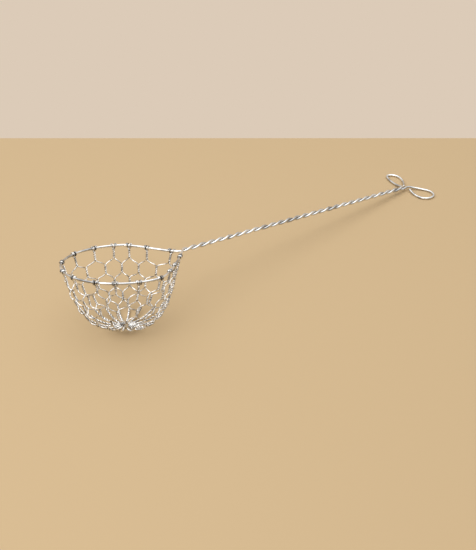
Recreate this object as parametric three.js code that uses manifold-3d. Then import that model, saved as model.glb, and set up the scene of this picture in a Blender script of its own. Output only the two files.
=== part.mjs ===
// Wire fondue skimmer. One thick wire makes the rim, the twisted handle and its two end loops.
// Thin wires, each doubled over a small base ring, are woven into a bowl of hexagonal netting and wound
// on the rim. Millimetres, +Z up, +X along the handle. The skimmer lies on the table at z = 0, on its bowl
// and its end loops.
import * as THREE from "three";
import { mergeVertices } from "three/addons/utils/BufferGeometryUtils.js";
import Module from "manifold-3d";

// Wire diameters, and the clearance between wires that lie against each other
const FRAME_WIRE = 1.6;
const NET_WIRE = 0.75;
const RING_WIRE = 0.9;
const WIRE_CLEARANCE = 0.1;

// Bowl: the rim's circle, and a wall that runs nearly straight at first and then rounds into a flat floor
const RIM_DIAMETER = 75;
const BOWL_DEPTH = 40;
const WALL_INSET = 6.4;
const WALL_DEPTH = 18;
const FLOOR_RADIUS = 29.3;

// Netting: the angle from the handle of each wire's knot on the rim, as woven by hand
const KNOT_ANGLES = [0, 26, 46, 61, 81, 106, 133, 160, 182, 207, 225, 246, 267, 287, 306, 333];
const FIRST_COLUMN_ANGLE = -2;
const STEM_ROWS = 5;
const STEM_TURNS = 1;
const LEG_DROP = 3.4;
const SPOKE_LENGTH = 17;
const SPOKE_TURNS = 1.25;
const KNOT_TURNS = 1.1;

// Handle: where the rim's two ends cross, and the straight twist from there to the loops
const NECK_REACH = 43.3;
const NECK_OFFSET = -5.2;
const HANDLE_LENGTH = 213;
const HANDLE_TURNS = 14;
const ROLL = 10.7;

// Sides of the rim near the neck: the angle where each leaves the circle, and how it runs to the neck
const LEFT_SIDE = { shoulder: 52, lead: 7, neckLead: 10, neckAngle: -34 };
const RIGHT_SIDE = { shoulder: -93, lead: 7, neckLead: 18, neckAngle: 46 };

// End loops: teardrops that lie on the table, splayed to each side of the handle. Each has the width of its
// outgoing and its returning side from its middle line. The right strand runs on past the left loop.
const LEFT_LOOP = { splay: 72, length: 23, outgoing: 2.4, returning: 6.4, tail: 32 };
const RIGHT_LOOP = { splay: 80, length: 20.8, outgoing: 5.8, returning: 6.4, tail: 42 };
const LOOP_START = 20;
const RIGHT_RUN = 3.5;
const END_HEIGHT = 2.6;
const REST_FLAT = FRAME_WIRE / 10;

// Facets
const NET_SIDES = 4;
const FRAME_SIDES = 6;
const RING_STEPS = 24;
const STEM_STEPS = 5;
const WRAP_STEPS = 6;
const TWIST_STEPS = 8;
const RIM_STEP_ANGLE = 9;
const SIDE_STEPS = 8;
const LOOP_STEPS = 15;

const radians = THREE.MathUtils.degToRad;
const frameRadius = FRAME_WIRE / 2;
const netRadius = NET_WIRE / 2;
const rimRadius = RIM_DIAMETER / 2;
const columns = KNOT_ANGLES.length;

// A chord cuts inside the circle that it spans, so a polygon of wire around something needs a larger radius.
const chordShare = (steps) => Math.cos(Math.PI / steps);
const stemRadius = (netRadius + WIRE_CLEARANCE) / chordShare(STEM_STEPS);
const knotRadius = (frameRadius + netRadius + WIRE_CLEARANCE) / chordShare(WRAP_STEPS);
const hookRadius = (RING_WIRE / 2 + netRadius + WIRE_CLEARANCE) / chordShare(WRAP_STEPS);
const strandRadius = (frameRadius + WIRE_CLEARANCE) / chordShare(TWIST_STEPS);

// The base ring is as small as lets the doubled wires lie side by side inside it.
const ringRadius = (columns * (NET_WIRE + WIRE_CLEARANCE)) / (2 * Math.PI) + hookRadius;

// A path that has each of the given points as one step
class WirePath extends THREE.Curve {
  constructor(points) {
    super();
    this.points = points;
  }
  getPointAt(u) {
    return this.points[Math.round(u * (this.points.length - 1))].clone();
  }
  getTangentAt(u) {
    const i = Math.round(u * (this.points.length - 1));
    const before = this.points[Math.max(i - 1, 0)];
    const after = this.points[Math.min(i + 1, this.points.length - 1)];
    return after.clone().sub(before).normalize();
  }
}

function wireGeometry(points, diameter, sides) {
  const section = new THREE.Shape();
  for (let i = 0; i < sides; i++) {
    const a = (i / sides) * 2 * Math.PI;
    const x = (diameter / 2) * Math.cos(a);
    const y = (diameter / 2) * Math.sin(a);
    if (i === 0) section.moveTo(x, y);
    else section.lineTo(x, y);
  }
  section.closePath();
  const extrudePath = new WirePath(points);
  const steps = points.length - 1;
  return new THREE.ExtrudeGeometry(section, { steps, bevelEnabled: false, extrudePath });
}

// Rim: an arc, and a side on each hand that leaves it and runs to the neck
const neck = new THREE.Vector3(NECK_REACH, NECK_OFFSET, 0);

function onRimCircle(degrees) {
  return new THREE.Vector3(rimRadius * Math.cos(radians(degrees)), rimRadius * Math.sin(radians(degrees)), 0);
}

function rimSide(side, hand, height) {
  const start = onRimCircle(side.shoulder);
  const a = radians(side.shoulder);
  const along = new THREE.Vector3(Math.sin(a), -Math.cos(a), 0).multiplyScalar(hand * side.lead);
  const b = radians(side.neckAngle);
  const into = new THREE.Vector3(Math.cos(b), Math.sin(b), 0).multiplyScalar(side.neckLead);
  const end = neck.clone().setZ(height);
  return new THREE.CubicBezierCurve3(start, start.clone().add(along), end.clone().sub(into), end);
}

// The left side passes under the right side at the neck.
const leftSide = rimSide(LEFT_SIDE, 1, -strandRadius);
const rightSide = rimSide(RIGHT_SIDE, -1, strandRadius);

function rimPoints() {
  const arcSpan = 360 + RIGHT_SIDE.shoulder - LEFT_SIDE.shoulder;
  const arcSteps = Math.round(arcSpan / RIM_STEP_ANGLE);
  const arc = [];
  for (let i = 1; i < arcSteps; i++) arc.push(onRimCircle(LEFT_SIDE.shoulder + (arcSpan * i) / arcSteps));
  return [...leftSide.getSpacedPoints(SIDE_STEPS).reverse(), ...arc, ...rightSide.getSpacedPoints(SIDE_STEPS)];
}
const rim = rimPoints();

// The rim's point at an angle from the handle, and its direction there
function rimAt(degrees) {
  const opposite = radians(degrees) - Math.PI;
  const turn = (p) => THREE.MathUtils.euclideanModulo(Math.atan2(p.y, p.x) - opposite, 2 * Math.PI);
  for (let i = 0; i + 1 < rim.length; i++) {
    const before = turn(rim[i]) - Math.PI;
    const after = turn(rim[i + 1]) - Math.PI;
    if (before <= 0 && after > 0 && after - before < 1) {
      const point = rim[i].clone().lerp(rim[i + 1], before / (before - after));
      return { point, along: rim[i + 1].clone().sub(rim[i]).setZ(0).normalize() };
    }
  }
  throw new Error("the rim has no point at that angle");
}

// Bowl wall: a meridian from the rim to the base ring, drawn in with the rim where the rim leaves its circle
const meridian = new THREE.CubicBezierCurve(
  new THREE.Vector2(rimRadius, 0),
  new THREE.Vector2(rimRadius - WALL_INSET, -WALL_DEPTH),
  new THREE.Vector2(FLOOR_RADIUS, -BOWL_DEPTH),
  new THREE.Vector2(ringRadius, -BOWL_DEPTH),
);
const meridianLength = meridian.getLength();

function onWall(run, degrees) {
  const share = run / meridianLength;
  const p = meridian.getPointAt(share);
  const drawnIn = rimAt(degrees).point.setZ(0).length() / rimRadius;
  const r = p.x * (1 + (drawnIn - 1) * (1 - share));
  return new THREE.Vector3(r * Math.cos(radians(degrees)), r * Math.sin(radians(degrees)), p.y);
}

function outOfWall(run, degrees) {
  const t = meridian.getTangentAt(run / meridianLength);
  const a = radians(degrees);
  return new THREE.Vector3(-t.y * Math.cos(a), -t.y * Math.sin(a), t.x);
}

// Columns start at their knots and become even towards the base ring.
function columnAngle(column, run) {
  const turns = Math.floor(column / columns);
  const knot = KNOT_ANGLES[column - turns * columns] + 360 * turns;
  const even = FIRST_COLUMN_ANGLE + (360 / columns) * column;
  return THREE.MathUtils.lerp(knot, even, run / meridianLength);
}

// Rows of stems, two wires twisted together, with slanting legs between them. The last row is the spokes.
const netStart = knotRadius + NET_WIRE;
const netEnd = meridianLength - hookRadius - 2 * NET_WIRE;
const stemLength = (netEnd - netStart - SPOKE_LENGTH) / (STEM_ROWS - 1) - LEG_DROP;

// A leg of a net wire from the rim to the ring. It twists with its other leg in even rows, and with a leg
// of the next wire in odd rows.
function legPoints(column, hand) {
  const points = [];
  for (let row = 0; row < STEM_ROWS; row++) {
    const own = row % 2 === 0;
    const spoke = row === STEM_ROWS - 1;
    const top = netStart + row * (stemLength + LEG_DROP);
    const turns = spoke ? SPOKE_TURNS : STEM_TURNS;
    const steps = Math.ceil(turns * STEM_STEPS);
    for (let i = 0; i <= steps; i++) {
      const run = top + ((spoke ? SPOKE_LENGTH : stemLength) * i) / steps;
      const here = columnAngle(column, run);
      const angle = own ? here : (here + columnAngle(column + hand, run)) / 2;
      const phase = (own === hand > 0 ? 0 : Math.PI) + (2 * Math.PI * turns * i) / steps;
      const a = radians(angle);
      const across = new THREE.Vector3(-Math.sin(a), Math.cos(a), 0);
      const point = onWall(run, angle);
      point.addScaledVector(across, stemRadius * Math.cos(phase));
      point.addScaledVector(outOfWall(run, angle), stemRadius * Math.sin(phase));
      points.push(point);
    }
  }
  return points;
}

// A spoke ends with one wire above the other, and the bend that joins them goes round the base ring.
function bendPoints(column) {
  const a = radians(FIRST_COLUMN_ANGLE + (360 / columns) * column);
  const outward = new THREE.Vector3(Math.cos(a), Math.sin(a), 0);
  const points = [];
  for (let i = 0; i < WRAP_STEPS - 1; i++) {
    const turn = Math.PI + (2 * Math.PI * (i - 2)) / WRAP_STEPS;
    const point = outward.clone().multiplyScalar(ringRadius + hookRadius * Math.cos(turn));
    points.push(point.setZ(-BOWL_DEPTH + hookRadius * Math.sin(turn)));
  }
  return points;
}

// A wire's end on the rim: it rises outside the rim, goes over it and is cut off after passing under it.
function rimEndPoints(column, hand) {
  const spacing = THREE.MathUtils.radToDeg((NET_WIRE + 2 * WIRE_CLEARANCE) / rimRadius);
  const steps = Math.ceil(KNOT_TURNS * WRAP_STEPS);
  const points = [];
  for (let i = 0; i <= steps; i++) {
    const turns = (KNOT_TURNS * i) / steps;
    const turn = 2 * Math.PI * turns - Math.PI / 2;
    const { point, along } = rimAt(KNOT_ANGLES[column] + hand * spacing * (turns + 0.5));
    const outward = new THREE.Vector3(along.y, -along.x, 0);
    point.addScaledVector(outward, knotRadius * Math.cos(turn));
    points.push(point.setZ(point.z + knotRadius * Math.sin(turn)));
  }
  return points;
}

function netWirePoints(column) {
  const upper = [...rimEndPoints(column, -1).reverse(), ...legPoints(column, -1)];
  const lower = [...rimEndPoints(column, 1).reverse(), ...legPoints(column, 1)];
  return [...upper, ...bendPoints(column), ...lower.reverse()];
}
const netWires = KNOT_ANGLES.map((_, column) => netWirePoints(column));

// Resting pose: the bowl rolls about the handle, and tips until the handle's end is at its height above
// the table.
const handleEnd = neck.clone().setX(NECK_REACH + HANDLE_LENGTH);

function pose(tilt) {
  const roll = new THREE.Matrix4().makeRotationX(-radians(ROLL));
  return new THREE.Matrix4().makeRotationY(tilt).multiply(roll);
}

function tableUnder(matrix) {
  const heights = netWires.flat().map((p) => p.clone().applyMatrix4(matrix).z);
  return Math.min(...heights) - netRadius;
}

function restingTilt() {
  let low = 0;
  let high = Math.PI / 4;
  for (let i = 0; i < 30; i++) {
    const middle = (low + high) / 2;
    const matrix = pose(middle);
    const height = handleEnd.clone().applyMatrix4(matrix).z - tableUnder(matrix);
    if (height > END_HEIGHT) low = middle;
    else high = middle;
  }
  return (low + high) / 2;
}
const rotation = pose(restingTilt());
const toTable = new THREE.Matrix4().makeTranslation(0, 0, -tableUnder(rotation)).multiply(rotation);

// Handle: each strand winds left-handed from the neck, and ends level beside the other strand.
function strandPoints(startPhase) {
  const turns = HANDLE_TURNS - 1 / 4 - ROLL / 360;
  const steps = Math.round(turns * TWIST_STEPS);
  const points = [];
  for (let i = 1; i <= steps; i++) {
    const phase = startPhase - (2 * Math.PI * turns * i) / steps;
    const x = NECK_REACH + (HANDLE_LENGTH * i) / steps;
    const y = NECK_OFFSET + strandRadius * Math.cos(phase);
    points.push(new THREE.Vector3(x, y, strandRadius * Math.sin(phase)));
  }
  return points;
}

// End loop: a teardrop from the handle's end, down to the table and round its tip, back to a cut tail.
function loopPoints(loop, hand, start) {
  const a = radians(loop.splay);
  const out = new THREE.Vector3(Math.cos(a), hand * Math.sin(a), 0);
  const forward = new THREE.Vector3(Math.sin(a), -hand * Math.cos(a), 0);
  const restHeight = frameRadius - REST_FLAT;
  const widest = Math.sin(radians(109.5)) * Math.sin(radians(54.75));
  const points = [];
  for (let i = 0; i <= LOOP_STEPS; i++) {
    const turn = THREE.MathUtils.lerp(radians(LOOP_START), radians(360 - loop.tail), i / LOOP_STEPS);
    const reach = (loop.length * (1 - Math.cos(turn))) / 2;
    const width = turn < Math.PI ? loop.outgoing : loop.returning;
    const side = (width * Math.sin(turn) * Math.sin(turn / 2)) / widest;
    const lift = Math.max(0, 1 - (2 * reach) / loop.length) ** 2;
    const point = start.clone().addScaledVector(out, reach).addScaledVector(forward, -hand * side);
    points.push(point.setZ(restHeight + (start.z - restHeight) * lift));
  }
  return points;
}

function framePoints() {
  const left = strandPoints(-Math.PI / 2);
  const right = strandPoints(Math.PI / 2);
  right.push(handleEnd.clone().add(new THREE.Vector3(RIGHT_RUN, -strandRadius / 2, 0)));
  const body = [...left.reverse(), ...rim, ...right].map((p) => p.clone().applyMatrix4(toTable));
  const leftLoop = loopPoints(LEFT_LOOP, 1, body[0]);
  const rightLoop = loopPoints(RIGHT_LOOP, -1, body[body.length - 1]);
  return [...leftLoop.reverse(), ...body, ...rightLoop];
}

// Boolean cut, for the flats that the end loops rest on
const wasm = await Module();
wasm.setup();

function solidOf(geometry) {
  const bare = geometry.clone().deleteAttribute("normal").deleteAttribute("uv");
  const merged = mergeVertices(bare, 1e-4);
  return new wasm.Manifold(
    new wasm.Mesh({
      numProp: 3,
      vertProperties: new Float32Array(merged.attributes.position.array),
      triVerts: new Uint32Array(merged.index.array),
    }),
  );
}

function geometryOf(solid) {
  const mesh = solid.getMesh();
  return new THREE.BufferGeometry()
    .setAttribute("position", new THREE.BufferAttribute(mesh.vertProperties, 3))
    .setIndex(new THREE.BufferAttribute(mesh.triVerts, 1));
}

function frameGeometry() {
  const wire = wireGeometry(framePoints(), FRAME_WIRE, FRAME_SIDES);
  const reach = 2 * (NECK_REACH + HANDLE_LENGTH + LEFT_LOOP.length + RIGHT_LOOP.length);
  const table = new THREE.BoxGeometry(reach, reach, BOWL_DEPTH).translate(0, 0, -BOWL_DEPTH / 2);
  return geometryOf(solidOf(wire).subtract(solidOf(table)));
}

function ringGeometry() {
  const section = [];
  for (let i = 0; i <= FRAME_SIDES; i++) {
    const a = (2 * Math.PI * i) / FRAME_SIDES;
    section.push(new THREE.Vector2(ringRadius + (RING_WIRE / 2) * Math.cos(a), (RING_WIRE / 2) * Math.sin(a)));
  }
  return new THREE.LatheGeometry(section, RING_STEPS).rotateX(Math.PI / 2).translate(0, 0, -BOWL_DEPTH);
}

// Assembly
const tinnedFrame = { color: 0xc9c9c6, roughness: 0.28, metalness: 1 };
const tinnedNet = { color: 0xd2cec6, roughness: 0.35, metalness: 1 };

function piece(name, geometry, finish) {
  const mesh = new THREE.Mesh(geometry, new THREE.MeshStandardMaterial(finish));
  mesh.name = name;
  return mesh;
}

const bowl = new THREE.Group();
netWires.forEach((points, i) => {
  const name = `net_wire_${String(i + 1).padStart(2, "0")}`;
  bowl.add(piece(name, wireGeometry(points, NET_WIRE, NET_SIDES), tinnedNet));
});
bowl.add(piece("base_ring", ringGeometry(), tinnedNet));
bowl.applyMatrix4(toTable);

const skimmer = new THREE.Group();
skimmer.add(bowl, piece("frame_wire", frameGeometry(), tinnedFrame));

// The origin is under the middle of the skimmer's length and width.
const box = new THREE.Box3().setFromObject(skimmer, true);
const middle = box.getCenter(new THREE.Vector3());
skimmer.children.forEach((child) => child.position.add(new THREE.Vector3(-middle.x, -middle.y, -box.min.z)));

export default skimmer;
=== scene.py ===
import math

import bpy
import numpy as np
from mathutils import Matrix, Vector


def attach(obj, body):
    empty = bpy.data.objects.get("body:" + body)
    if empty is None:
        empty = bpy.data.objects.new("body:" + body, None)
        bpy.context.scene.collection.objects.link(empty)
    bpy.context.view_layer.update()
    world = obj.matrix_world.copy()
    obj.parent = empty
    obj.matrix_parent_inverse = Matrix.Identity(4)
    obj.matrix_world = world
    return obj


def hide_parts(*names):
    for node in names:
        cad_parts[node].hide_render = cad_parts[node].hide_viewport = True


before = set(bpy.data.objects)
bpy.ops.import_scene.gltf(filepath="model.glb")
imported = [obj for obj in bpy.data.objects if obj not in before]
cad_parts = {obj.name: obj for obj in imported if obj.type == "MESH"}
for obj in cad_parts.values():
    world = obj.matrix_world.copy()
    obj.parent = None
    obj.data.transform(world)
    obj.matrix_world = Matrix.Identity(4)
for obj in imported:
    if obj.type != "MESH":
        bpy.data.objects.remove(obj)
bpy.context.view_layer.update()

# Sizes of the skimmer, in millimetres and degrees, the same as its solids
FRAME_WIRE = 1.6
NET_WIRE = 0.75
RING_WIRE = 0.9
RIM_RADIUS = 37.5
BOWL_DEPTH = 40
WALL_INSET = 6.4
WALL_DEPTH = 18
FLOOR_RADIUS = 29.3
RING_RADIUS = 3.2326
KNOT_ANGLES = [0, 26, 46, 61, 81, 106, 133, 160, 182, 207, 225, 246, 267, 287, 306, 333]
FIRST_COLUMN_ANGLE = -2
STEM_ROWS = 5
LEG_DROP = 3.4
SPOKE_LENGTH = 17
NET_START = 2.222
NET_END_GAP = 2.568
NECK = (43.3, -5.2)
HANDLE_LENGTH = 213
HANDLE_TURNS = 14
RIGHT_RUN = 3.5
LEFT_SIDE = dict(shoulder=52, lead=7, neck_lead=10, neck_angle=-34)
RIGHT_SIDE = dict(shoulder=-93, lead=7, neck_lead=18, neck_angle=46)
LEFT_LOOP = dict(splay=72, length=23, outgoing=2.4, returning=6.4, tail=32)
RIGHT_LOOP = dict(splay=80, length=20.8, outgoing=5.8, returning=6.4, tail=42)
LOOP_START = 20

# Resting pose: the rim's centre above the table, and the bowl's tilt towards the handle and roll about it
RIM_CENTRE = np.array((-113.675, 0.121, 41.638))
TILT = 8.977
ROLL = 10.7

# Turns, bends and gaps, nearer to real wire than in the solids. A rim end's turns start under the rim
KNOT_TURNS = 1.6
KNOT_LEAD = 0.08
STEM_TURNS = 2
SPOKE_TURNS = 4.25
RING_BEND = (70, 290)
TOUCH = 0.02
TWIST_GAP = 0.08

# Not in the solids: the unevenness of hand weaving, and the rounding of bends at the neck and the loops
UNEVEN_HEIGHT = 0.35
UNEVEN_ANGLE = 0.7
EASE_REACH = 1.8
EASE_PASSES = 16

# How finely wires are drawn: points on a stretch or for each turn, and sides around a wire
ARC_POINTS = 240
SIDE_POINTS = 60
WALL_POINTS = 400
LOOP_POINTS = 64
BEND_POINTS = 17
RING_POINTS = 72
STEM_POINTS_PER_TURN = 12
WOUND_POINTS_PER_TURN = 20
FREE_POINTS = 7
FREE_POINTS_AT_RING = 5
FRAME_STEP = 0.45
FRAME_SIDES = 14
NET_SIDES = 10

# Rings of a rounded cut end, from its tip: share of the wire's radius, and radii that they stand out
CUT_END = [(0.5, 0.3), (0.87, 0.18)]

# Marks on the wire, drawn coarse so that they show: millimetres, and a line's width in wire radii
PIT = 0.25
RELIEF = 0.02
LINE_LENGTH = 5 / 3
LINE_WIDTH = 0.2

# Stage, in metres: two points of the floor's far edge, and how far it runs to each side of the first
STAGE_EDGE_LEFT = np.array((-0.0317, 0.2653, 0.0))
STAGE_EDGE_RIGHT = np.array((0.2456, 0.0139, 0.0))
STAGE_TO_LEFT = 1.2
STAGE_TO_RIGHT = 1.6
STAGE_DEPTH = 2.0
STAGE_DROP = 0.0001
TOWARD_BACKDROP = (0.67, 0.74, 0.0)
BACKDROP = "#dccbb8"
LIGHT_SHARE = 0.65

# Camera at the photograph's viewing angle: its place from the rim's centre, where it looks, and its lens
CAMERA_FROM_RIM = np.array((-391.96, -535.72, 415.26))
CAMERA_WAY = (0.56515, 0.62311, -0.53968)
CAMERA_LENS = 84.39

COLUMNS = len(KNOT_ANGLES)
STRAND_RADIUS = FRAME_WIRE / 2 + TOUCH
STEM_RADIUS = NET_WIRE / 2 + TWIST_GAP
KNOT_RADIUS = (FRAME_WIRE + NET_WIRE) / 2 + TOUCH
KNOT_SPACING = math.degrees((NET_WIRE + 3 * TOUCH) / RIM_RADIUS)
HOOK_RADIUS = (RING_WIRE + NET_WIRE) / 2 + TOUCH
UP = np.array((0, 0, 1.0))
METRES = 0.001


def unit(v):
    return v / np.linalg.norm(v)


def polar(degrees, radius=1.0):
    a = math.radians(degrees)
    return np.array((radius * math.cos(a), radius * math.sin(a), 0.0))


def bezier(p0, p1, p2, p3, count):
    t = np.linspace(0, 1, count)[:, None]
    return (1 - t) ** 3 * p0 + 3 * (1 - t) ** 2 * t * p1 + 3 * (1 - t) * t**2 * p2 + t**3 * p3


def free_wire(p0, t0, p1, t1, count):
    """Points strictly between p0 and p1, leaving along t0 and arriving along t1."""
    reach = np.linalg.norm(p1 - p0) / 3
    return bezier(p0, p0 + reach * unit(t0), p1 - reach * unit(t1), p1, count + 2)[1:-1]


def run_lengths(points):
    """The length along a path from its start to each of its points."""
    return np.concatenate(([0], np.cumsum(np.linalg.norm(np.diff(points, axis=0), axis=1))))


# The resting pose
tilt = math.radians(TILT)
roll = math.radians(ROLL)
tilted = np.array(((math.cos(tilt), 0, math.sin(tilt)), (0, 1, 0), (-math.sin(tilt), 0, math.cos(tilt))))
rolled = np.array(((1, 0, 0), (0, math.cos(roll), math.sin(roll)), (0, -math.sin(roll), math.cos(roll))))
POSE = tilted @ rolled


def placed(points):
    return points @ POSE.T + RIM_CENTRE


# Rim, from the neck round the bowl and back to the neck, in the rim's plane
def rim_side(side, hand, height):
    start = polar(side["shoulder"], RIM_RADIUS)
    along = polar(side["shoulder"] - 90, hand * side["lead"])
    end = np.array((*NECK, height))
    into_neck = polar(side["neck_angle"], side["neck_lead"])
    return bezier(start, start + along, end - into_neck, end, SIDE_POINTS)


arc_angles = np.linspace(LEFT_SIDE["shoulder"], 360 + RIGHT_SIDE["shoulder"], ARC_POINTS)[1:-1]
rim = np.vstack((
    rim_side(LEFT_SIDE, 1, -STRAND_RADIUS)[::-1],
    [polar(a, RIM_RADIUS) for a in arc_angles],
    rim_side(RIGHT_SIDE, -1, STRAND_RADIUS),
))
rim_angles = np.degrees(np.unwrap(np.arctan2(rim[:, 1], rim[:, 0])))


def rim_at(degrees):
    turn = rim_angles[0] + (degrees - rim_angles[0]) % 360
    return np.array([np.interp(turn, rim_angles, rim[:, k]) for k in range(3)])


def along_rim(degrees):
    reach = 0.6
    return unit(rim_at(degrees + reach) - rim_at(degrees - reach))


# Bowl wall: a meridian from the rim to the base ring
meridian = bezier(
    np.array((RIM_RADIUS, 0.0)),
    np.array((RIM_RADIUS - WALL_INSET, -WALL_DEPTH)),
    np.array((FLOOR_RADIUS, -BOWL_DEPTH)),
    np.array((RING_RADIUS, -BOWL_DEPTH)),
    WALL_POINTS,
)
meridian_runs = run_lengths(meridian)
MERIDIAN_LENGTH = meridian_runs[-1]
STEM_LENGTH = (MERIDIAN_LENGTH - NET_END_GAP - NET_START - SPOKE_LENGTH) / (STEM_ROWS - 1) - LEG_DROP


def on_meridian(run):
    return np.array([np.interp(run, meridian_runs, meridian[:, k]) for k in range(2)])


def on_wall(run, degrees):
    """A point of the wall, drawn in with the rim where the rim leaves its circle."""
    r, z = on_meridian(run)
    drawn_in = np.linalg.norm(rim_at(degrees)[:2]) / RIM_RADIUS
    return polar(degrees, r * (1 + (drawn_in - 1) * (1 - run / MERIDIAN_LENGTH))) + z * UP


def out_of_wall(run, degrees):
    reach = 0.1
    dr, dz = unit(on_meridian(run + reach) - on_meridian(run - reach))
    return polar(degrees, -dz) + dr * UP


def column_angle(column, run):
    """Columns start at their knots and become even towards the base ring."""
    turns = column // COLUMNS
    knot = KNOT_ANGLES[column - turns * COLUMNS] + 360 * turns
    even = FIRST_COLUMN_ANGLE + 360 / COLUMNS * column
    return knot + (even - knot) * run / MERIDIAN_LENGTH


def uneven(row, place, size):
    """A steady unevenness, the same for both wires of a stem. The factors only make the stems differ."""
    place = place % (2 * COLUMNS)
    return size * math.sin(12.9 * row + 7.3 * place + 1.7 * row * place)


# Net wires. Each stretch is a pair: its points, and at each the way towards what the wire lies against
def stem(column, hand, row):
    """One leg of a wire in a twisted stem, or in a spoke in the last row. It twists with the wire's other
    leg in even rows, and with a leg of the next wire in odd rows."""
    own = row % 2 == 0
    spoke = row == STEM_ROWS - 1
    place = 2 * column if own else 2 * column + hand
    top = NET_START + row * (STEM_LENGTH + LEG_DROP)
    shift = 0
    if row and not spoke:
        # Another row's number for the angle, so that it doesn't go with the height
        top += uneven(row, place, UNEVEN_HEIGHT)
        shift = uneven(row + 3, place, UNEVEN_ANGLE)
    length = SPOKE_LENGTH if spoke else STEM_LENGTH
    turns = SPOKE_TURNS if spoke else STEM_TURNS
    phase = 0 if own == (hand > 0) else math.pi
    points, toward = [], []
    for share in np.linspace(0, 1, round(STEM_POINTS_PER_TURN * turns) + 1):
        run = top + length * share
        here = column_angle(column, run)
        degrees = shift + (here if own else (here + column_angle(column + hand, run)) / 2)
        turn = phase + 2 * math.pi * turns * share
        away = math.cos(turn) * polar(degrees + 90) + math.sin(turn) * out_of_wall(run, degrees)
        points.append(on_wall(run, degrees) + STEM_RADIUS * away)
        toward.append(-away)
    return np.array(points), np.array(toward)


def rim_end(column, hand):
    """A wire's end from its cut to where it leaves the rim, wound away from the wire's other end with its
    turns side by side."""
    points, toward = [], []
    for turns in np.linspace(KNOT_TURNS, KNOT_LEAD, round(WOUND_POINTS_PER_TURN * KNOT_TURNS)):
        degrees = KNOT_ANGLES[column] + hand * KNOT_SPACING * (turns + 0.5)
        along = along_rim(degrees)
        outward = np.array((along[1], -along[0], 0.0))
        turn = 2 * math.pi * turns - math.pi / 2
        away = math.cos(turn) * outward + math.sin(turn) * UP
        points.append(rim_at(degrees) + KNOT_RADIUS * away)
        toward.append(-hand * along)
    return np.array(points), np.array(toward)


def bend(column):
    """The bend round the base ring from the upper wire of a spoke to the lower, beside the next bend."""
    outward = polar(FIRST_COLUMN_ANGLE + 360 / COLUMNS * column)
    turns = np.radians(np.linspace(*RING_BEND, BEND_POINTS))[:, None]
    away = np.cos(turns) * outward + np.sin(turns) * UP
    points = RING_RADIUS * outward - BOWL_DEPTH * UP + HOOK_RADIUS * away
    return points, np.broadcast_to(np.cross(UP, outward), points.shape)


def joined(stretches, count):
    """One wire of several stretches, with free wire curving from each to the next."""
    points, toward = stretches[0]
    for next_points, next_toward in stretches[1:]:
        leaving = points[-1] - points[-3]
        arriving = next_points[2] - next_points[0]
        free = free_wire(points[-1], leaving, next_points[0], arriving, count)
        points = np.vstack((points, free, next_points))
        toward = np.vstack((toward, 0 * free, next_toward))
    return points, toward


def leg(column, hand):
    """Half of a net wire, from its cut end on the rim down to its bend."""
    stems = [stem(column, hand, row) for row in range(STEM_ROWS)]
    return joined([rim_end(column, hand), *stems], FREE_POINTS)


def net_wire(column):
    lower, lower_toward = leg(column, 1)
    stretches = [leg(column, -1), bend(column), (lower[::-1], lower_toward[::-1])]
    points, toward = joined(stretches, FREE_POINTS_AT_RING)
    return placed(points), toward @ POSE.T


# Frame wire: left loop, left strand, rim, right strand and right loop
def strand(start_phase):
    """One strand of the handle, wound left-handed from the neck. It ends level beside the other strand."""
    turns = HANDLE_TURNS - 1 / 4 - ROLL / 360
    share = np.linspace(0, 1, round(turns * WOUND_POINTS_PER_TURN) + 1)[1:]
    phase = start_phase - 2 * math.pi * turns * share
    away = np.stack((0 * phase, np.cos(phase), np.sin(phase)), axis=1)
    axis = np.stack((NECK[0] + HANDLE_LENGTH * share, NECK[1] + 0 * share, 0 * share), axis=1)
    return axis + STRAND_RADIUS * away, -away


def loop(shape, hand, start):
    """A teardrop that goes down to the table, round its tip and back to a cut tail."""
    out = polar(hand * shape["splay"])
    forward = polar(hand * (shape["splay"] - 90))
    turn = np.radians(np.linspace(LOOP_START, 360 - shape["tail"], LOOP_POINTS))
    reach = shape["length"] * (1 - np.cos(turn)) / 2
    width = np.where(turn < math.pi, shape["outgoing"], shape["returning"])
    # The greatest value of the product of sines that rounds the teardrop
    widest = 4 / math.sqrt(27)
    side = width * np.sin(turn) * np.sin(turn / 2) / widest
    points = start + reach[:, None] * out - hand * side[:, None] * forward
    rest = FRAME_WIRE / 2
    points[:, 2] = rest + (start[2] - rest) * np.maximum(0, 1 - 2 * reach / shape["length"]) ** 2
    return points


def even_steps(values, runs):
    at = np.linspace(0, runs[-1], round(runs[-1] / FRAME_STEP) + 1)
    return np.stack([np.interp(at, runs, values[:, k]) for k in range(3)], axis=1)


def eased(points, centres):
    """Rounds a path near the given points, as wire bends, and less and less from half the reach outwards."""
    points = points.copy()
    weight = np.zeros(len(points))
    for centre in centres:
        distance = np.linalg.norm(points - centre, axis=1)
        weight = np.maximum(weight, np.clip(1.5 - distance / EASE_REACH, 0, 1))
    weight[0] = weight[-1] = 0
    for _ in range(EASE_PASSES):
        middle = (np.roll(points, 1, 0) + np.roll(points, -1, 0)) / 2
        points += weight[:, None] * (middle - points) / 2
    return points


def frame_wire():
    left, left_toward = strand(-math.pi / 2)
    right, right_toward = strand(math.pi / 2)
    run_on = np.array((NECK[0] + HANDLE_LENGTH + RIGHT_RUN, NECK[1] - STRAND_RADIUS / 2, 0.0))
    body = placed(np.vstack((left[::-1], rim, right, run_on)))
    body_toward = np.vstack((left_toward[::-1], 0 * rim, right_toward, 0 * run_on)) @ POSE.T
    left_loop = loop(LEFT_LOOP, 1, body[0])
    right_loop = loop(RIGHT_LOOP, -1, body[-1])
    points = np.vstack((left_loop[::-1], body, right_loop))
    toward = np.vstack((0 * left_loop, body_toward, 0 * right_loop))
    runs = run_lengths(points)
    bends = [placed(np.array((*NECK, 0.0))), body[0], body[-2], body[-1]]
    return eased(even_steps(points, runs), bends), even_steps(toward, runs)


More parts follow.
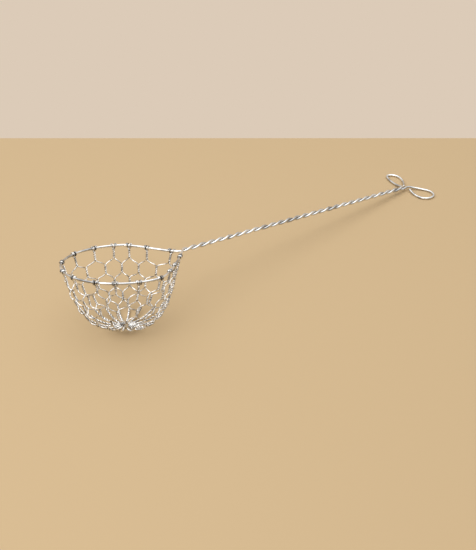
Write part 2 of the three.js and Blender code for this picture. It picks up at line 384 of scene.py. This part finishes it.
# Wires as round pieces
def path_frames(points, closed):
    """The way along a path at each point, and a way across it that turns as little as it can."""
    ahead = np.roll(points, -1, 0) - points
    behind = np.roll(ahead, 1, 0)
    if not closed:
        ahead[-1] = ahead[-2]
        behind[0] = 0
    along = ahead + behind
    along /= np.linalg.norm(along, axis=1)[:, None]
    steep = abs(along[0][2]) >= 0.9
    across = [np.cross(along[0], (1, 0, 0) if steep else UP)]
    for direction in along:
        across.append(unit(across[-1] - direction * (across[-1] @ direction)))
    return along, across[1:]


def round_wire(name, points, toward, diameter, sides, material, closed=False):
    """A round wire along a path, with rounded cut ends if it is open. Its crevice attribute is 1 where it
    faces what it lies against. Its UVs are millimetres along it and a share of the turn around it."""
    along, across = path_frames(points, closed)
    last = len(points) - 1
    rings = [(i, 1.0, 0.0) for i in range(len(points))]
    if not closed:
        rings = [(0, share, -push) for share, push in CUT_END] + rings
        rings += [(last, share, push) for share, push in reversed(CUT_END)]
    around = np.linspace(0, 2 * math.pi, sides, endpoint=False)[:, None]
    verts, crevice = [], []
    for i, share, push in rings:
        away = np.cos(around) * across[i] + np.sin(around) * np.cross(along[i], across[i])
        verts.extend((points[i] + diameter / 2 * (share * away + push * along[i])) * METRES)
        # The crevice value sets where the materials paint shade in the grooves
        crevice.extend(np.maximum(0, away @ toward[i]))

    runs = run_lengths(np.vstack((points, points[:1])))
    lengths = [runs[i] for i, _, _ in rings]
    if closed:
        lengths.append(runs[-1])
    faces, uvs = [], []
    for a in range(len(lengths) - 1):
        b = (a + 1) % len(rings)
        for j in range(sides):
            k = (j + 1) % sides
            faces.append((a * sides + j, a * sides + k, b * sides + k, b * sides + j))
            uvs += [(lengths[a], j / sides), (lengths[a], (j + 1) / sides)]
            uvs += [(lengths[a + 1], (j + 1) / sides), (lengths[a + 1], j / sides)]
    if not closed:
        faces.append(tuple(reversed(range(sides))))
        faces.append(tuple(range(len(verts) - sides, len(verts))))
        uvs += [(lengths[0], 0.0)] * sides + [(lengths[-1], 0.0)] * sides

    mesh = bpy.data.meshes.new(name)
    mesh.from_pydata([tuple(v) for v in verts], [], faces)
    mesh.uv_layers.new(name="along_and_around").data.foreach_set("uv", np.ravel(uvs))
    mesh.attributes.new("crevice", "FLOAT", "POINT").data.foreach_set("value", np.ravel(crevice))
    mesh.shade_smooth()
    mesh.materials.append(material)
    piece = bpy.data.objects.new(name, mesh)
    bpy.context.scene.collection.objects.link(piece)
    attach(piece, "root")
    return piece


# Materials, with the colour sockets of a Mix node: its two inputs and its output
MIX_A = 6
MIX_B = 7
MIX_COLOUR = 2


def linear(code):
    """A linear colour from an sRGB hex value."""
    def channel(v):
        return v / 12.92 if v <= 0.04045 else ((v + 0.055) / 1.055) ** 2.4
    return tuple(channel(int(code[i:i + 2], 16) / 255) for i in (1, 3, 5)) + (1.0,)


def node(tree, kind, inputs=(), stops=(), **settings):
    """Adds a node with its settings, its inputs as (socket, value or output) pairs and its colour stops."""
    made = tree.nodes.new(kind)
    for key, value in settings.items():
        setattr(made, key, value)
    for socket, value in inputs:
        if isinstance(value, bpy.types.NodeSocket):
            tree.links.new(value, made.inputs[socket])
        else:
            made.inputs[socket].default_value = value
    if stops:
        elements = made.color_ramp.elements
        while len(elements) < len(stops):
            elements.new(0.5)
        for element, (position, colour) in zip(elements, stops):
            element.position = position
            element.color = linear(colour)
    return made


def empty_tree(owner):
    owner.use_nodes = True
    owner.node_tree.nodes.clear()
    return owner.node_tree


def tinned_steel(name, bright, dull, painted_groove_shade, rough, blotch, groove):
    """Drawn steel wire dipped in tin: a bright, cloudy skin with fine lines along the wire from the drawing
    die and small pits, and painted shade in the groove where it lies against another wire. Blotches of the
    tin are as wide as given, in millimetres, and the painted shade starts at the given crevice."""
    groove_edge = 0.6
    groove_peak = 0.95
    groove_rough = 0.3
    material = bpy.data.materials.new(name)
    tree = empty_tree(material)

    # Blotches of the skin, and painted shade, a dark colour, in the grooves
    place = node(tree, "ShaderNodeTexCoord")
    solid = ("Vector", place.outputs["Object"])
    clouds = node(tree, "ShaderNodeTexNoise", [solid, ("Scale", 1 / (blotch * METRES)), ("Detail", 4.0)])
    skin_stops = [(0.36, dull), (0.58, bright)]
    skin = node(tree, "ShaderNodeValToRGB", [("Fac", clouds.outputs["Fac"])], skin_stops)
    crevice = node(tree, "ShaderNodeAttribute", attribute_name="crevice")
    reach = [("From Min", groove), ("From Max", groove + groove_edge), ("To Max", groove_peak)]
    groove_share = node(tree, "ShaderNodeMapRange", [("Value", crevice.outputs["Fac"]), *reach])
    mixed = [("Factor", groove_share.outputs[0]), (MIX_A, skin.outputs["Color"]), (MIX_B, linear(painted_groove_shade))]
    colour = node(tree, "ShaderNodeMix", mixed, data_type="RGBA")

    # Lines along the wire, on a circle so that they meet where its turn closes
    uv = node(tree, "ShaderNodeSeparateXYZ", [("Vector", place.outputs["UV"])])
    stretch = LINE_WIDTH / LINE_LENGTH
    run = node(tree, "ShaderNodeMath", [(0, uv.outputs["X"]), (1, stretch)], operation="MULTIPLY")
    angle = node(tree, "ShaderNodeMath", [(0, uv.outputs["Y"]), (1, 2 * math.pi)], operation="MULTIPLY")
    sine = node(tree, "ShaderNodeMath", [(0, angle.outputs[0])], operation="SINE")
    cosine = node(tree, "ShaderNodeMath", [(0, angle.outputs[0])], operation="COSINE")
    on_circle = [("X", run.outputs[0]), ("Y", sine.outputs[0]), ("Z", cosine.outputs[0])]
    around = ("Vector", node(tree, "ShaderNodeCombineXYZ", on_circle).outputs[0])
    lines = node(tree, "ShaderNodeTexNoise", [around, ("Scale", 1 / LINE_WIDTH), ("Detail", 3.0)])
    line = lines.outputs["Fac"]

    # Roughness follows the lines, and rises in the grooves
    spread = [("From Min", 0.3), ("From Max", 0.7), ("To Min", rough - 0.07), ("To Max", rough + 0.08)]
    worn = node(tree, "ShaderNodeMapRange", [("Value", line), *spread])
    dulled = [(0, groove_share.outputs[0]), (1, groove_rough), (2, worn.outputs[0])]
    roughness = node(tree, "ShaderNodeMath", dulled, operation="MULTIPLY_ADD")

    # Relief of the lines and of the pits
    deep = ("Distance", RELIEF * METRES)
    drawn = node(tree, "ShaderNodeBump", [("Strength", 0.25), deep, ("Height", line)])
    pits = node(tree, "ShaderNodeTexNoise", [solid, ("Scale", 1 / (PIT * METRES)), ("Detail", 2.0)])
    pitting = [("Strength", 0.2), deep, ("Height", pits.outputs["Fac"]), ("Normal", drawn.outputs[0])]
    pitted = node(tree, "ShaderNodeBump", pitting)

    finish = [
        ("Base Color", colour.outputs[MIX_COLOUR]),
        ("Metallic", 1.0),
        ("Roughness", roughness.outputs[0]),
        ("Normal", pitted.outputs[0]),
    ]
    shader = node(tree, "ShaderNodeBsdfPrincipled", finish)
    node(tree, "ShaderNodeOutputMaterial", [("Surface", shader.outputs[0])])
    return material


# Thick wire: wide soft blotches, and painted shade only deep in the grooves of the handle's twist
frame_tin = tinned_steel(
    "tinned_steel_frame_wire",
    bright="#f4f4f3",
    dull="#b4b3b2",
    painted_groove_shade="#2e2b29",
    rough=0.13,
    blotch=9.0,
    groove=0.45,
)

# Thin wire: whiter, with small blotches, and darker painted shade that reaches further out of the grooves
net_tin = tinned_steel(
    "tinned_steel_net_wire",
    bright="#fdfcfa",
    dull="#a9a6a1",
    painted_groove_shade="#1d1b1a",
    rough=0.12,
    blotch=1.8,
    groove=0.1,
)

# The skimmer
points, toward = frame_wire()
piece = round_wire("rim_and_handle_wire", points, toward, FRAME_WIRE, FRAME_SIDES, frame_tin)
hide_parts("frame_wire")
for column in range(COLUMNS):
    points, toward = net_wire(column)
    number = f"{column + 1:02d}"
    piece = round_wire(f"woven_wire_{number}", points, toward, NET_WIRE, NET_SIDES, net_tin)
    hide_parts(f"net_wire_{number}")
ring_angles = np.linspace(0, 360, RING_POINTS, endpoint=False)
ring = np.array([polar(a, RING_RADIUS) - BOWL_DEPTH * UP for a in ring_angles])
points = placed(ring)
toward = 0 * ring
piece = round_wire("gathering_ring", points, toward, RING_WIRE, NET_SIDES, net_tin, closed=True)
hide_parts("base_ring")


# Stage
def plain_pale_floor():
    """Matt and without grain, so that the thin wires stand out."""
    material = bpy.data.materials.new("plain_pale_floor")
    tree = empty_tree(material)
    finish = [("Base Color", linear("#d3b78e")), ("Roughness", 0.85), ("Specular IOR Level", 0.2)]
    shader = node(tree, "ShaderNodeBsdfPrincipled", finish)
    node(tree, "ShaderNodeOutputMaterial", [("Surface", shader.outputs[0])])
    return material


def stage_floor():
    along = unit(STAGE_EDGE_RIGHT - STAGE_EDGE_LEFT)
    to_front = STAGE_DEPTH * np.array((along[1], -along[0], 0.0))
    far_left = STAGE_EDGE_LEFT - STAGE_TO_LEFT * along
    far_right = STAGE_EDGE_LEFT + STAGE_TO_RIGHT * along
    corners = [far_left, far_left + to_front, far_right + to_front, far_right]
    mesh = bpy.data.meshes.new("floor")
    mesh.from_pydata([tuple(c) for c in corners], [], [(0, 1, 2, 3)])
    mesh.materials.append(plain_pale_floor())
    floor = bpy.data.objects.new("floor", mesh)
    floor.location.z = -STAGE_DROP
    bpy.context.scene.collection.objects.link(floor)


def studio():
    """A pale backdrop behind the skimmer, a darker side across from it and a white top. The camera and the
    wires' reflections see them in full, and they light less."""
    dark_stops = [
        (0.44, BACKDROP),
        (0.5, "#4a4a4c"),
        (0.62, "#3a3b3e"),
        (0.72, "#f2f4f6"),
        (1.0, "#ffffff"),
    ]
    pale_stops = [(0.5, BACKDROP), (0.62, "#c9bfb4"), (0.8, "#ffffff")]
    world = bpy.data.worlds.new("studio")
    tree = empty_tree(world)
    way = node(tree, "ShaderNodeTexCoord").outputs["Generated"]
    height = node(tree, "ShaderNodeSeparateXYZ", [("Vector", way)])
    rise = [("Value", height.outputs["Z"]), ("From Min", -1.0), ("From Max", 1.0)]
    share = ("Fac", node(tree, "ShaderNodeMapRange", rise).outputs[0])
    dark = node(tree, "ShaderNodeValToRGB", [share], dark_stops).outputs["Color"]
    pale = node(tree, "ShaderNodeValToRGB", [share], pale_stops).outputs["Color"]
    facing = node(tree, "ShaderNodeVectorMath", [(0, way), (1, TOWARD_BACKDROP)], operation="DOT_PRODUCT")
    turned = [("Value", facing.outputs["Value"]), ("From Min", -0.1), ("From Max", 0.5)]
    side = node(tree, "ShaderNodeMapRange", turned)
    both = [("Factor", side.outputs[0]), (MIX_A, dark), (MIX_B, pale)]
    colour = node(tree, "ShaderNodeMix", both, data_type="RGBA")
    rays = node(tree, "ShaderNodeLightPath")
    seen = [(0, rays.outputs["Is Camera Ray"]), (1, rays.outputs["Is Glossy Ray"])]
    either = node(tree, "ShaderNodeMath", seen, operation="MAXIMUM")
    lifted = [(0, either.outputs[0]), (1, 1 - LIGHT_SHARE), (2, LIGHT_SHARE)]
    level = node(tree, "ShaderNodeMath", lifted, operation="MULTIPLY_ADD")
    shown = [("Color", colour.outputs[MIX_COLOUR]), ("Strength", level.outputs[0])]
    background = node(tree, "ShaderNodeBackground", shown)
    node(tree, "ShaderNodeOutputWorld", [("Surface", background.outputs[0])])
    bpy.context.scene.world = world


def looking(way):
    """The turn of a lamp or camera that looks the given way."""
    return Vector(way).to_track_quat("-Z", "Y").to_euler()


def softbox(name, place, target, size, power):
    data = bpy.data.lights.new(name, "AREA")
    data.shape = "DISK"
    data.size = size
    data.energy = power
    lamp = bpy.data.objects.new(name, data)
    lamp.location = place
    lamp.rotation_euler = looking(np.subtract(target, place))
    bpy.context.scene.collection.objects.link(lamp)


def photo_camera():
    data = bpy.data.cameras.new("camera")
    data.lens = CAMERA_LENS
    data.clip_start = 0.01
    camera = bpy.data.objects.new("camera", data)
    camera.location = (RIM_CENTRE + CAMERA_FROM_RIM) * METRES
    camera.rotation_euler = looking(CAMERA_WAY)
    bpy.context.scene.collection.objects.link(camera)
    bpy.context.scene.camera = camera


stage_floor()
studio()
softbox("overhead_softbox", place=(0.05, 0.2, 1.2), target=(0, 0, 0), size=1.5, power=6.4)
softbox("left_softbox", place=(-0.95, -0.15, 0.75), target=(-0.05, 0, 0), size=0.8, power=3.5)
photo_camera()
bpy.context.scene.view_settings.view_transform = "Standard"
